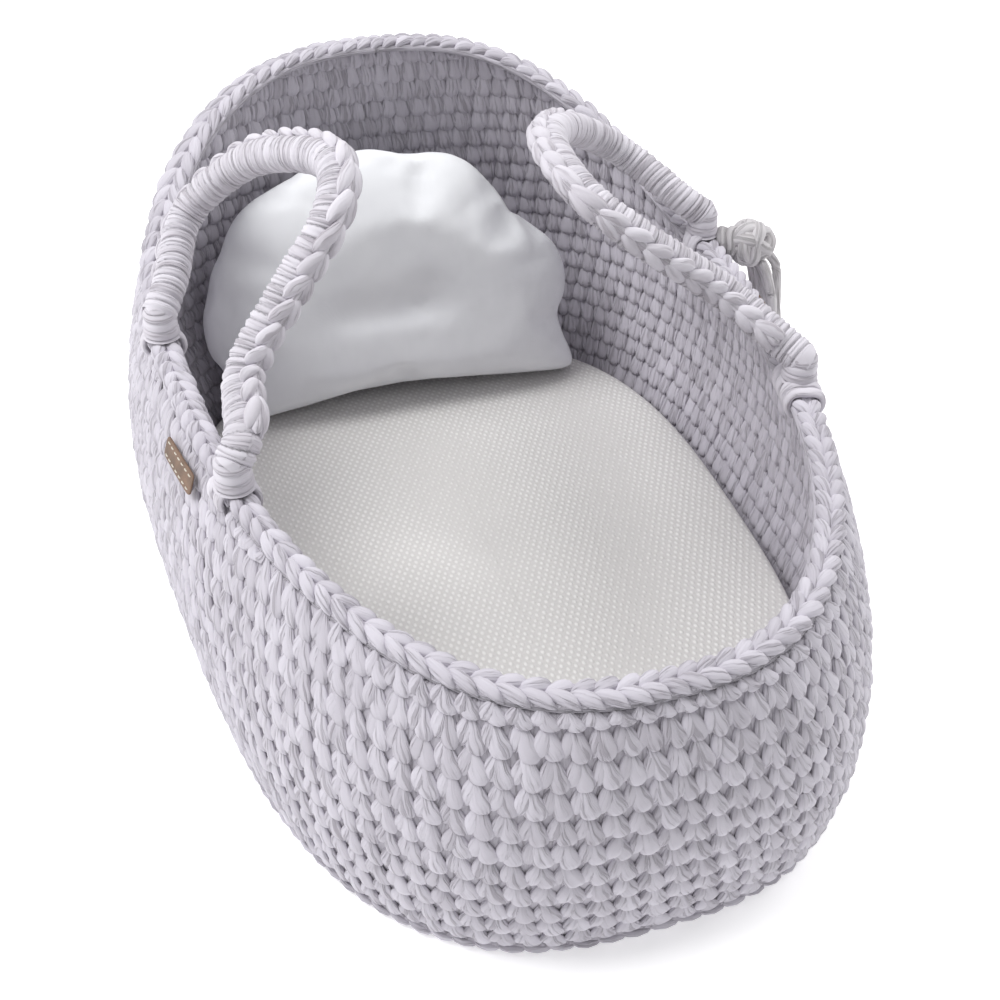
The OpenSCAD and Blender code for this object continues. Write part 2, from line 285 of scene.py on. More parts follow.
def tube(name, pts, radius, sides=14, mat=None, body="root", lobes=0.0, twist=0.0,
         closed=False, flat=1.0, ends=True, up=(0.13, 0.21, 0.97)):
    """A strand along a line: radius per point, folded lobes that twist along it."""
    pts = np.asarray(pts, float)
    n = len(pts)
    if closed:
        tan = unit(np.roll(pts, -1, 0) - np.roll(pts, 1, 0))
    else:
        tan = unit(np.gradient(pts, axis=0))
    a = unit(np.cross(tan, np.array(up)))
    b = np.cross(tan, a)
    rad = np.broadcast_to(radius, (n,)).astype(float).copy()
    if ends and not closed:
        seg = np.linalg.norm(np.diff(pts, axis=0), axis=1)
        run = np.minimum(np.concatenate([[0], np.cumsum(seg)]),
                         np.concatenate([np.cumsum(seg[::-1])[::-1], [0]]))
        rad *= np.sqrt(np.clip(1 - (1 - np.minimum(1, run / (rad * 0.9))) ** 2, 0.0025, 1))
    th = np.arange(sides) * 2 * math.pi / sides
    k = np.arange(n)[:, None] / n
    r = rad[:, None] * (1 + lobes * np.cos(3 * th[None] + twist * k * 2 * math.pi)
                        + lobes * 0.6 * np.cos(5 * th[None] - 1.7 * twist * k * 2 * math.pi))
    v = pts[:, None] + (r * np.cos(th))[..., None] * a[:, None]
    v = v + (r * np.sin(th) * flat)[..., None] * b[:, None]
    d = np.concatenate([[0], np.cumsum(np.linalg.norm(np.diff(pts, axis=0), axis=1))])
    uv = np.stack(np.broadcast_arrays(th[None] / (2 * math.pi) * 3, d[:, None] / 0.02), -1)
    return build(name, v, grid_faces(n, sides, closed, True), uv, np.full(n * sides, rng.random()),
                 mat, body)


# ---- the hanging strands are cords ----------------------------------------

# the routes in mm, as in the CAD
STRANDS = [
    [[96, -303, 252], [91, -309, 238], [87, -315, 214],
     [85, -318, 190], [83, -320, 168], [82, -321, 150]],
    [[104, -306, 248], [102, -312, 234], [100, -318, 208],
     [99, -321, 182], [100, -323, 158], [101, -323, 138]],
    [[114, -306, 247], [114, -312, 232], [113, -318, 205],
     [113, -322, 180], [113, -324, 158], [112, -324, 142]],
    [[124, -304, 250], [127, -310, 236], [127, -316, 212],
     [127, -320, 188], [128, -322, 166], [129, -323, 148]],
    [[111, -315, 254], [108, -326, 240], [107, -330, 216],
     [107, -333, 194], [106, -335, 174], [107, -336, 158]]]

for i, route in enumerate(STRANDS, 1):
    line, length = resample(smooth(np.array(route) / 1000, 6), 44)
    piece = tube(f"hanging_strand_{i}", line, 0.0043, 16, KNOT_YARN, "root", 0.07, 1.5)
    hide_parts(f"strand_{i}")


# ---- crochet stitches -----------------------------------------------------

def leaf(centre, half, depth, thick, across=13, along=9, arc=108):
    """One strand of a stitch, as a half shell: points (right, down, out), its cells, strand coordinates."""
    v = np.linspace(0, 1, along)
    vv = np.linspace(0, 1, len(centre))
    c = np.array(centre, float)
    cx, cy = np.interp(v, vv, c[:, 0]), np.interp(v, vv, c[:, 1])
    for _ in range(2):
        cx[1:-1] = 0.25 * cx[:-2] + 0.5 * cx[1:-1] + 0.25 * cx[2:]
        cy[1:-1] = 0.25 * cy[:-2] + 0.5 * cy[1:-1] + 0.25 * cy[2:]
    w = np.interp(v, np.linspace(0, 1, len(half)), half)
    d = np.interp(v, np.linspace(0, 1, len(depth)), depth)
    h = np.interp(v, np.linspace(0, 1, len(thick)), thick)
    a = np.radians(np.linspace(-arc, arc, across))
    tx, ty = np.gradient(cx), np.gradient(cy)
    l = np.hypot(tx, ty)
    px, py = -ty / l, tx / l
    side = w[:, None] * np.sin(a)[None]
    x = cx[:, None] - px[:, None] * side
    y = cy[:, None] - py[:, None] * side
    z = d[:, None] + h[:, None] * np.cos(a)[None]
    uv = np.stack(np.broadcast_arrays((a / math.pi + 0.5)[None], v[:, None] * 1.6), -1)
    return np.stack([x, y, z], -1).reshape(-1, 3), grid_faces(along, across), uv.reshape(-1, 2), \
        np.stack(np.broadcast_arrays(a[None], v[:, None]), -1).reshape(-1, 2)


def stitches(name, template, s, anchor, stretch, place, mat, body="root", unit_x=1.0, jitter=1.0):
    """Many copies of one strand, each a little different, laid on a surface by place(s, y, out)."""
    base, faces, uv, av = template
    n, m = len(s), len(base)
    if n == 0:
        return None
    p = np.repeat(base[None], n, 0)
    mid = base.mean(0)
    g = lambda k: rng.normal(0, k * jitter, (n, 1))
    p[..., 0] = mid[0] + (p[..., 0] - mid[0]) * (1 + g(0.05))
    p[..., 1] = mid[1] + (p[..., 1] - mid[1]) * (1 + g(0.03))
    turn = np.radians(g(4.0))
    dx, dy = p[..., 0] - mid[0], p[..., 1] - mid[1]
    p[..., 0], p[..., 1] = (mid[0] + dx * np.cos(turn) - dy * np.sin(turn) + g(0.0005),
                            mid[1] + dx * np.sin(turn) + dy * np.cos(turn) + g(0.0005))
    fold = rng.uniform(-1.0, 1.0, (n, 1))
    deep = rng.uniform(0.0, 1.0, (n, 1)) ** 1.5 * 0.0011
    groove = np.exp(-((av[None, :, 0] - fold) / 0.20) ** 2)
    groove = groove * np.sin(np.pi * np.clip(av[None, :, 1], 0, 1)) ** 0.5
    p[..., 2] += g(0.0004) - deep * groove
    y = p[..., 1] * stretch[:, None]
    pos = place(s[:, None] + p[..., 0] * unit_x, anchor[:, None] - y, p[..., 2])
    fc = faces[None] + (np.arange(n) * m)[:, None, None]
    tone = np.repeat(rng.random((n, 1)), m, 1)
    return build(name, pos, fc, np.repeat(uv[None], n, 0), tone, mat, body)


COUNT = 131
COL = ROUND_LEN / COUNT          # width of one stitch
ROW = 0.0195                     # height of one round
W, R = COL, ROW
LEFT_LEG = leaf([(0.08 * W, -0.12 * R), (0.19 * W, 0.22 * R), (0.35 * W, 0.54 * R), (0.51 * W, 0.82 * R),
                 (0.63 * W, 1.10 * R)],
                np.array([0.13, 0.27, 0.35, 0.40, 0.41, 0.35, 0.12]) * W,
                [-0.0008, 0.0004, 0.0010, 0.0014, 0.0018, 0.0014, -0.0004],
                [0.0016, 0.0027, 0.0032, 0.0034, 0.0032, 0.0026, 0.0010], 15, 10)
RIGHT_LEG = leaf([(1.08 * W, -0.10 * R), (1.03 * W, 0.26 * R), (0.95 * W, 0.58 * R), (0.84 * W, 0.96 * R)],
                 np.array([0.12, 0.28, 0.34, 0.34, 0.27, 0.10]) * W,
                 [-0.0008, 0.0004, 0.0011, 0.0010, 0.0002, -0.0014],
                 [0.0016, 0.0027, 0.0032, 0.0032, 0.0027, 0.0010], 15, 9)
TONGUE = leaf([(0.56 * W, -0.18 * R), (0.50 * W, 0.35 * R), (0.45 * W, 0.80 * R), (0.40 * W, 1.20 * R)],
              np.array([0.18, 0.36, 0.45, 0.48, 0.44, 0.20]) * W,
              [-0.0014, 0.0000, 0.0009, 0.0018, 0.0017, -0.0002],
              [0.0014, 0.0027, 0.0031, 0.0033, 0.0030, 0.0010], 15, 10)
SLANT = leaf([(1.10 * W, -0.10 * R), (1.00 * W, 0.35 * R), (0.92 * W, 0.75 * R), (0.84 * W, 1.10 * R)],
             np.array([0.07, 0.17, 0.20, 0.17, 0.07]) * W,
             [-0.0010, 0.0002, 0.0006, 0.0002, -0.0016],
             [0.0012, 0.0032, 0.0036, 0.0030, 0.0010])
DRIFT = 0.22

k = 0
while True:
    top = EDGE_H - 0.001 + (k + 1) * ROW
    s = (np.arange(COUNT) - DRIFT * k) / COUNT
    ends = rim_top(rim_x(angle(s + 0.5 / COUNT))) - RIM_H + 0.001
    part = (ends - (top - ROW)) / ROW
    keep = part > 0.35
    if not keep.any():
        break
    stretch = np.clip(part, 0.35, 1.0)
    near = (part >= 1.0) & (part <= 1.35)
    stretch[near] = part[near]
    anchor = top - ROW + stretch * ROW
    s, anchor, stretch = s[keep], anchor[keep], stretch[keep]
    outer = lambda q, z, out: on_wall(q, z, 0.0046 - out)
    inner = lambda q, z, out: on_wall(q, z, WALL - 0.0042 + out)
    for label, tpl, where in (("outer_left", LEFT_LEG, outer), ("outer_right", RIGHT_LEG, outer),
                              ("inner_tongue", TONGUE, inner), ("inner_slant", SLANT, inner)):
        stitches(f"round_{k + 1:02d}_{label}", tpl, s, anchor, stretch, where, YARN,
                 unit_x=1 / ROUND_LEN)
    k += 1

# the body of the wall behind the stitches
n_s, n_z = 264, 14
ss = np.arange(n_s)[:, None] / n_s
rise = np.linspace(0, 1, n_z)[None]
roof = rim_top(rim_x(angle(ss))) - RIM_H
z = EDGE_H + rise * (roof - EDGE_H)
loop = np.concatenate([on_wall(ss + 0 * z, z, 0.0045), on_wall(ss + 0 * z, z, WALL - 0.0045)[:, ::-1]], 1)
core_uv = np.stack(np.broadcast_arrays(ss * COUNT, np.arange(2 * n_z)[None] * 1.0), -1)
core = build("wall_core", loop, grid_faces(n_s, 2 * n_z, True, True), core_uv, np.zeros(loop[..., 0].size),
             YARN, "root")
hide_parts("wall")

# ---- rim braid ------------------------------------------------------------

LINK = COL
# half widths, depths and thicknesses along an arm of the braid
ARM = ([0.0018, 0.0044, 0.0056, 0.0056, 0.0046, 0.0014],
       [-0.0080, -0.0058, -0.0050, -0.0054, -0.0068, -0.0098],
       [0.0015, 0.0040, 0.0046, 0.0046, 0.0038, 0.0012], 15, 11, 118)
OUT_ARM = leaf([(-0.12 * LINK, -0.0084), (0.30 * LINK, -0.0058), (0.75 * LINK, -0.0026),
                (1.15 * LINK, 0.0000), (1.42 * LINK, 0.0012)], *ARM)
IN_ARM = leaf([(-0.12 * LINK, -0.0076), (0.30 * LINK, -0.0102), (0.75 * LINK, -0.0134),
               (1.15 * LINK, -0.0160), (1.42 * LINK, -0.0172)], *ARM)
s = np.arange(COUNT) / COUNT
zero, one = np.zeros(COUNT), np.ones(COUNT)
for label, arm in (("outer", OUT_ARM), ("inner", IN_ARM)):
    stitches(f"rim_{label}_arms", arm, s, zero, one, on_rim, YARN, unit_x=1 / ROUND_LEN,
             jitter=0.6)
ring = np.arange(396) / 396
edge_line = on_rim(ring, 0.0002, -0.0116) + np.stack(
    [0 * ring, 0 * ring, 0.0004 * np.sin(ring * 2 * math.pi * COUNT)], -1)
tube("rim_edge_strand", edge_line, 0.0023, 12, YARN, "root", 0.05, 60, True, up=(0, 0, 1))
lip_line = on_rim(ring, WALL + 0.0018, -0.0105)
tube("rim_lip_strand", lip_line, 0.0030, 12, YARN, "root", 0.05, 60, True, up=(0, 0, 1))
th = np.linspace(0, 2 * math.pi, 12, endpoint=False)
section = on_rim(ring[:, None] + 0 * th, 0.008 - 0.0095 * np.cos(th)[None] + 0 * ring[:, None],
                 -0.0095 + 0.0042 * np.sin(th)[None] + 0 * ring[:, None])
rim_core = build("rim_core", section, grid_faces(396, 12, True, True),
                 np.stack(np.broadcast_arrays(ring[:, None] * COUNT, th[None]), -1), np.zeros(396 * 12), YARN,
                 "root")
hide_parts("rim_braid")

# ---- edge and underside of the base ---------------------------------------

EDGE = leaf([(-0.10 * COL, 0.0036), (0.45 * COL, 0.0050), (0.95 * COL, 0.0066), (1.45 * COL, 0.0082)],
            [0.0012, 0.0034, 0.0042, 0.0036, 0.0012],
            [-0.002, 0.0006, 0.0012, 0.0006, -0.002],
            [0.0012, 0.0036, 0.0042, 0.0034, 0.0010], 13, 9, 112)
edge_place = lambda q, z, out: on_wall(q, z, 0.0034 - out)
stitches("base_edge_chain", EDGE, s, np.full(COUNT, EDGE_H), one, edge_place, YARN,
         unit_x=1 / ROUND_LEN, jitter=0.5)
ez = np.array([0.0006, 0.004, 0.008, 0.0125, 0.0125, 0.008, 0.004, 0.0006])
ei = np.array([0.003, 0.0015, 0.0015, 0.003, 0.014, 0.0155, 0.0155, 0.014])
eloop = on_wall(ss[::2] + 0 * ez[None], ez[None] + 0 * ss[::2], ei[None] + 0 * ss[::2])
edge_core = build("base_edge_core", eloop, grid_faces(132, 8, True, True),
                  np.stack(np.broadcast_arrays(ss[::2] * COUNT, ez[None] * 100), -1), np.zeros(132 * 8), YARN,
                  "root")
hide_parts("base_edge")

MAT_LEG = leaf([(0.1 * W, -0.1 * R), (0.25 * W, 0.3 * R), (0.42 * W, 0.7 * R), (0.55 * W, 1.15 * R)],
               np.array([0.10, 0.26, 0.32, 0.28, 0.10]) * W, [-0.0016, 0.0, 0.0006, 0.0, -0.002],
               [0.0012, 0.0030, 0.0034, 0.0030, 0.0010], 9, 7, 100)
MAT_LEG2 = leaf([(0.95 * W, -0.05 * R), (0.88 * W, 0.3 * R), (0.76 * W, 0.7 * R), (0.62 * W, 1.05 * R)],
                np.array([0.08, 0.20, 0.25, 0.22, 0.08]) * W, [-0.002, -0.0004, 0.0, -0.0008, -0.0024],
                [0.0012, 0.0030, 0.0034, 0.0030, 0.0010], 9, 7, 100)
for j in range(12):
    inset = 0.002 + j * ROW
    table, around = arc_table(0.0, inset + 0.01)
    count = max(8, int(round(around / COL)))

    def under(q, y, out, table=table, inset=inset):
        t = np.interp(np.mod(q, 1.0), table, TS)
        x, yy = plan(t, 0.0, np.minimum(inset - y, HALF_W - 0.0025))
        return np.stack([x, yy, np.maximum(0.0046 - out, 0.0003)], -1)
    q = (np.arange(count) + 0.3 * j) / count
    for label, tpl in (("a", MAT_LEG), ("b", MAT_LEG2)):
        stitches(f"underside_{j + 1:02d}_{label}", tpl, q, np.zeros(count), np.ones(count), under, YARN,
                 unit_x=1 / around)
n_r = 10
tt = np.arange(180)[:, None] * 2 * math.pi / 180
ins = np.concatenate([np.linspace(HALF_W - 0.001, 0.018, n_r), np.linspace(0.018, HALF_W - 0.001, n_r)])[None]
zz = np.concatenate([np.full(n_r, 0.0050), np.full(n_r, 0.0115)])[None]
mx, my = plan(tt + 0 * ins, 0.0, ins + 0 * tt)
mat_core = build("base_mat_core", np.stack([mx, my, zz + 0 * tt], -1), grid_faces(180, 2 * n_r, True, False),
                 np.stack(np.broadcast_arrays(tt * 20, ins * 60), -1), np.zeros(180 * 2 * n_r), YARN, "root")
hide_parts("base_mat")

# ---- handles --------------------------------------------------------------

# the arches between their feet, in mm: along the line of the feet, and away from it
LEFT_ARCH = [[125, 25], [170, 70], [145, 135], [90, 175], [30, 195], [-10, 170], [-25, 110], [-45, 45],
             [-95, 20]]
RIGHT_ARCH = [[130, 30], [160, 90], [130, 160], [50, 210], [-30, 205], [-60, 150], [-70, 70], [-105, 20]]
WRAP_R = 0.014
FOOT_LIFT = 0.003 + 0.001 + WRAP_R


def width_at(x, inset):
    a, b = HALF_L - 0.015 - inset, HALF_W - 0.012 - inset
    return b * (1 + 0.18 * x / HALF_L) * (1 - np.abs(x / a) ** 2.5) ** 0.4


def foot(x, side):
    return np.array([x, side * width_at(x, WALL / 2), rim_top(x) + FOOT_LIFT])


def handle(name, side, lean, rear_x, front_x, arch, bands):
    body = f"{name}_handle"
    f1, f2 = foot(rear_x, side), foot(front_x, side)
    along = unit(f1 - f2)
    mid = (f1 + f2) / 2
    steep = unit(np.array([0, 0, 1.0]) - along * along[2])
    away = math.cos(lean) * steep - math.sin(lean) * side * unit(np.cross(steep, along))
    normal = np.cross(along, away)
    half_span = np.linalg.norm(f1 - f2) / 2
    flat = smooth(np.array([[half_span, 0], *(np.array(arch) / 1000), [-half_span, 0]]), 24)
    line = mid + flat[:, :1] * along + flat[:, 1:2] * away
    n = 760
    line, length = resample(line, n)
    tan = unit(np.gradient(line, axis=0))
    tan[0], tan[-1] = away, -away
    out = np.cross(tan, normal)
    out *= np.sign(np.sum(out[n // 2] * away))
    # wraps: each turn of the yarn is a rounded band, a little tilted
    edges = [0.0]
    while edges[-1] < length + 0.02:
        edges.append(edges[-1] + rng.uniform(0.0055, 0.0095))
    edges = np.array(edges)
    height = rng.uniform(-0.0003, 0.0004, len(edges))
    lean_of = rng.uniform(0.6, 1.5, len(edges)) * 0.0022
    sides = 30
    th = np.arange(sides) * 2 * math.pi / sides
    at = np.linspace(0, length, n)[:, None] + 0 * th
    at = at + 0.0020 * np.cos(th - 0.6)[None] + 0.002
    idx = np.clip(np.searchsorted(edges, at) - 1, 0, len(edges) - 2)
    f = (at - edges[idx]) / (edges[idx + 1] - edges[idx])
    r = 0.01235 + height[idx] + 0.0019 * (1 - np.abs(2 * f - 1) ** 3.2)
    crest = 0.0004 * np.cos(2 * math.pi * (f * 2 + rng.random(len(edges))[idx]))
    r = r + crest * (1 - np.abs(2 * f - 1) ** 2)
    v = line[:, None] + (r * np.cos(th))[..., None] * out[:, None] + (r * np.sin(th))[..., None] * normal
    uv = np.stack([f, np.broadcast_to(th[None] / 2.2, f.shape)], -1)
    tone = np.clip(rng.random(len(edges))[idx], 0, 1)
    wrap = build(f"{name}_wrapping", v, grid_faces(n, sides, False, True), uv, tone, HANDLE_YARN, body)
    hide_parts(f"{name}_handle_wrap")
    # the chain along its outer side
    a0, a1 = 0.030, length - 0.026
    pitch = 0.0200
    count = int((a1 - a0) / pitch)
    pitch = (a1 - a0) / count
    d = np.linspace(0, length, n)

    def chain(q, y, o):
        base = [np.interp(q, d, line[:, c]) for c in range(3)]
        ov = [np.interp(q, d, out[:, c]) for c in range(3)]
        turn = y / (WRAP_R + 0.002)
        lift = WRAP_R + 0.0014 + o
        return np.stack([base[c] + (ov[c] * np.cos(turn) + normal[c] * side * np.sin(turn)) * lift
                         for c in range(3)], -1)
    for label, sgn in (("upper", 1), ("lower", -1)):
        arm = leaf([(-0.15 * pitch, -0.0012 * sgn), (0.25 * pitch, 0.0020 * sgn),
                    (0.65 * pitch, 0.0052 * sgn), (1.00 * pitch, 0.0074 * sgn), (1.25 * pitch, 0.0084 * sgn)],
                   [0.0016, 0.0042, 0.0052, 0.0054, 0.0046, 0.0016],
                   [-0.0010, 0.0010, 0.0014, 0.0006, -0.0008, -0.0030],
                   [0.0014, 0.0036, 0.0042, 0.0040, 0.0032, 0.0010], 15, 12, 122)
        stitches(f"{name}_chain_{label}", arm, a0 + np.arange(count) * pitch, np.zeros(count), np.ones(count),
                 chain, HANDLE_YARN, body, jitter=0.6)
    seam = np.array([line[i] + out[i] * (WRAP_R + 0.0006) for i in range(32, n - 28)])
    bed = tube(f"{name}_chain_bed", seam[::3], 0.0042, 10, HANDLE_YARN, body, up=tuple(normal))
    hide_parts(f"{name}_handle_braid")
    # feet: a wrapped stub under each end, and straps over the rim
    for (which, x0, f0), turns_over in zip((("rear", rear_x, f1), ("front", front_x, f2)), bands):
        rows, cols = 60, 28
        tcol = np.arange(cols) * 2 * math.pi / cols
        q = np.linspace(0, 1, rows)
        ground = rim_top(x0) - 0.001
        zz = f0[2] + 0.0125 - q * (f0[2] + 0.0125 - ground)
        dome = np.sqrt(np.clip(1 - np.clip(1 - q / 0.42, 0, 1) ** 2, 0, 1))
        rad = (0.0128 + 0.0022 * q ** 3) * np.maximum(dome, 0.02)
        turns = (q[:, None] * 4.3 + 0.06 * np.cos(tcol)[None]) % 1.0
        rad = rad[:, None] * (1 + 0.10 * (1 - np.abs(2 * turns - 1) ** 3) - 0.05)
        yaw = math.atan2(along[1], along[0])
        ex, ey = rad * np.cos(tcol) * 1.05, rad * np.sin(tcol)
        px = f0[0] + ex * math.cos(yaw) - ey * math.sin(yaw)
        py = f0[1] + ex * math.sin(yaw) + ey * math.cos(yaw)
        build(f"{name}_{which}_stub", np.stack([px, py, zz[:, None] + 0 * px], -1),
              grid_faces(rows, cols, False, True),
              np.stack([turns, np.broadcast_to(tcol[None] / 2.2, turns.shape)], -1),
              np.floor(q[:, None] * 4.3 + 0 * tcol) % 3 / 3, HANDLE_YARN, "root")
        straps = [strap(f"{name}_{which}_strap_{j + 1}", x0 + dx, side, half, slant)
                  for j, (dx, half, slant) in enumerate(turns_over)]
        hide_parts(f"{name}_{which}_band")


def rim_angle(x, side):
    c = abs(x / (HALF_L - 0.015 - WALL / 2)) ** 1.25
    t = math.acos(c)
    return side * (math.pi - t if x < 0 else t)


def strap(name, x, side, half, slant):
    """A flat strand laid over the rim, from the outside down the inside, a little slanted."""
    # inset and height of its middle line over the rim's section
    route = [(0.0010, -0.0190, 0), (-0.0040, -0.0165, 0), (-0.0068, -0.0115, 0), (-0.0068, -0.0060, 0),
             (-0.0044, -0.0012, 0), (0.0010, 0.0010, 0), (0.0080, 0.0010, 0), (0.0150, 0.0010, 0),
             (0.0204, -0.0012, 0), (0.0228, -0.0060, 0), (0.0228, -0.0115, 0), (0.0200, -0.0165, 0),
             (0.0150, -0.0190, 0)]
    pts = smooth(route, 5)
    q0 = np.interp(np.mod(rim_angle(x, side), 2 * math.pi), TS, ARC)
    n = len(pts)
    q = q0 + np.linspace(-0.5, 0.5, n) * slant * side / ROUND_LEN
    mid = on_rim(q, pts[:, 0], pts[:, 1])
    tangent = unit(on_rim(q + 0.0005, pts[:, 0], pts[:, 1]) - mid)
    nor = unit(np.cross(tangent, unit(np.gradient(mid, axis=0))))
    cols = 18
    a = np.arange(cols) * 2 * math.pi / cols
    from_end = np.minimum(np.arange(n), n - 1 - np.arange(n))
    tip = np.sqrt(np.clip(1 - (1 - np.minimum(1, from_end / 5)) ** 2, 0.04, 1))
    v = mid[:, None] + ((half * tip)[:, None] * np.cos(a))[..., None] * tangent[:, None] \
        + ((0.0030 * tip)[:, None] * np.sign(np.sin(a)) * np.abs(np.sin(a)) ** 0.8)[..., None] * nor[:, None]
    uv = np.stack(np.broadcast_arrays((a / (2 * math.pi))[None] * 2, np.arange(n)[:, None] / 14), -1)
    return build(name, v, grid_faces(n, cols, False, True), uv, np.full(n * cols, rng.random()), HANDLE_YARN,
                 "root")


# turns of yarn over the rim at each foot: where, half its width, how far it slants
handle("left", 1, math.radians(42), 0.090, -0.120, LEFT_ARCH,
       [[(0.0, 0.0050, 0.001)], [(-0.004, 0.0062, 0.016), (0.009, 0.0056, 0.014)]])
handle("right", -1, math.radians(55), 0.130, -0.110, RIGHT_ARCH,
       [[(0.004, 0.0052, 0.004), (-0.007, 0.0050, 0.003)],
        [(0.001, 0.0056, 0.006), (-0.011, 0.0054, 0.006), (0.013, 0.0056, 0.006), (-0.022, 0.0050, 0.006)]])

# ---- knot -----------------------------------------------------------------

KNOT_AT = np.array([0.112, -0.299, 0.264])
for j, (tip_dir, spin) in enumerate([((1, 0.25, 0.2), 0.0), ((0.1, 1, 0.35), 1.1), ((0.2, -0.3, 1), 2.3),
                                     ((0.8, 0.75, -0.5), 3.1), ((-0.7, 0.6, 0.7), 4.0)]):
    ax = unit(np.array(tip_dir, float))
    e = unit(np.cross(ax, [0.3, 0.2, 0.9]))
    f = np.cross(ax, e)
    th = np.linspace(0, 2 * math.pi, 64, endpoint=False)
    rr = 0.0150 + 0.0016 * np.cos(3 * th + spin)
    lift = 0.0030 * np.sin(2 * th + spin)
    pts = KNOT_AT + (rr * np.cos(th))[:, None] * e + (rr * np.sin(th))[:, None] * f + lift[:, None] * ax
    tube(f"knot_loop_{j + 1}", pts, 0.0068, 14, KNOT_YARN, "root", 0.05, 2, True,
                      up=tuple(ax))
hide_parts("knot")
# the turns of yarn between the knot and the handle's foot
root_end = foot(0.130, -1)
for j, (share, drop, rad, turn) in enumerate([(0.30, -0.017, 0.0085, 0.3), (0.55, -0.012, 0.0105, 1.2),
                                              (0.78, -0.005, 0.0140, 2.2)]):
    askew = np.array([0.25 * math.cos(3 * turn), 0.15, 0.3 * math.sin(2 * turn)])
    ax = unit(unit(KNOT_AT - root_end) + askew)
    e = unit(np.cross(ax, [0.1, 0.3, 0.9]))
    f = np.cross(ax, e)
    th = np.linspace(0, 2 * math.pi, 64, endpoint=False)
    at = root_end + (KNOT_AT - root_end) * share + np.array([0, -0.004, drop])
    pts = at + (rad * np.cos(th))[:, None] * e + (rad * 0.85 * np.sin(th))[:, None] * f \
        + (0.004 * np.sin(2 * th + turn))[:, None] * ax
    tube(f"knot_tie_{j + 1}", pts, 0.0056, 14, KNOT_YARN, "root", 0.05, 2, True, up=tuple(ax))

# ---- labels ---------------------------------------------------------------

leather, nt, b = material("leather_look", 0.55)
vec = coords(nt)
grain = nt.nodes.new("ShaderNodeTexVoronoi")
grain.inputs["Scale"].default_value = 900
nt.links.new(vec, grain.inputs["Vector"])
patch = noise(nt, vec, 60, 4)
nt.links.new(ramp(nt, patch, [(0.3, (0.13, 0.085, 0.06)), (0.7, (0.24, 0.155, 0.11))]),
             b.inputs["Base Color"])
nt.links.new(maths(nt, "MULTIPLY_ADD", patch, 0.25), b.inputs["Roughness"])
b.inputs["Roughness"].links[0].from_node.inputs[2].default_value = 0.42
bump(nt, grain.outputs["Distance"], b, 0.5, 0.0003)
thread, nt, b = material("thread_look", 0.7, 0.1)
twill = nt.nodes.new("ShaderNodeTexWave")
twill.inputs["Scale"].default_value = 700
nt.links.new(coords(nt, rot=(0, 0, 0.7)), twill.inputs["Vector"])
nt.links.new(ramp(nt, twill.outputs["Fac"], [(0, (0.62, 0.58, 0.50)), (1, (0.82, 0.78, 0.70))]),
             b.inputs["Base Color"])
bump(nt, twill.outputs["Fac"], b, 0.4, 0.0002)


def label(name, x, side):
    zc = rim_top(x) - 0.024
    t0 = rim_angle(x, side)
    q0 = np.interp(np.mod(t0, 2 * math.pi), TS, ARC)
    hl, hh, th = 0.035, 0.008, 0.0016
    # rounded outline filled by a grid that shrinks towards the middle
    a = np.linspace(0, 2 * math.pi, 72, endpoint=False)
    ca, sa = np.cos(a), np.sin(a)
    ox = np.sign(ca) * np.abs(ca) ** 0.16 * hl
    oy = np.sign(sa) * np.abs(sa) ** 0.30 * hh
    steps = [(0.02, -1), (0.6, -1), (0.97, -1), (1.0, -0.7), (1.0, 0.6), (0.985, 0.95), (0.95, 1.0),
             (0.6, 1.0), (0.3, 1.0), (0.02, 1.0)]
    rings = []
    for k, side_pos in steps:
        out = 0.0044 + th / 2 * (1 + side_pos)
        rings.append(on_wall(q0 + ox * k / ROUND_LEN, zc + oy * k, -out * np.ones(72)))
    v = np.stack(rings)
    ob = build(f"{name}_leather_label", v, grid_faces(len(steps), 72, False, True), None, None, leather,
               "root")
    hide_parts(f"{name}_label")
    # running stitch round it
    vs, fs = [], []
    for j in (-1, 1):
        for i in range(-3, 4):
            q = q0 + (i * 0.009 + np.array([0, 0.002])) / ROUND_LEN
            c, ahead = on_wall(q, zc + j * (hh - 0.003) + 0 * q, -0.0061 + 0 * q)
            e = unit(ahead - c)
            o = unit(np.array([-e[1], e[0], 0.0]) * (1 if np.dot([-e[1], e[0]], c[:2]) > 0 else -1))
            up = np.cross(e, o)
            u = np.linspace(-1, 1, 9)
            g = np.arange(8) * math.pi / 4
            rad = 0.00055 * np.sqrt(np.clip(1 - u ** 4, 0.01, 1))
            lift = 0.0004 * (1 - u ** 2) - 0.0002
            p = c + (u * 0.0026)[:, None, None] * e + (rad[:, None] * np.cos(g))[..., None] * o \
                + (rad[:, None] * np.sin(g))[..., None] * up + lift[:, None, None] * o
            fs.append(grid_faces(9, 8, False, True) + 72 * len(vs))
            vs.append(p.reshape(-1, 3))
    ob = build(f"{name}_label_stitches", np.concatenate(vs), np.concatenate(fs), None, None, thread, "root")
    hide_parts(f"{name}_label_thread")


label("left", -0.050, 1)
label("right", 0.016, -1)

# ---- mattress -------------------------------------------------------------

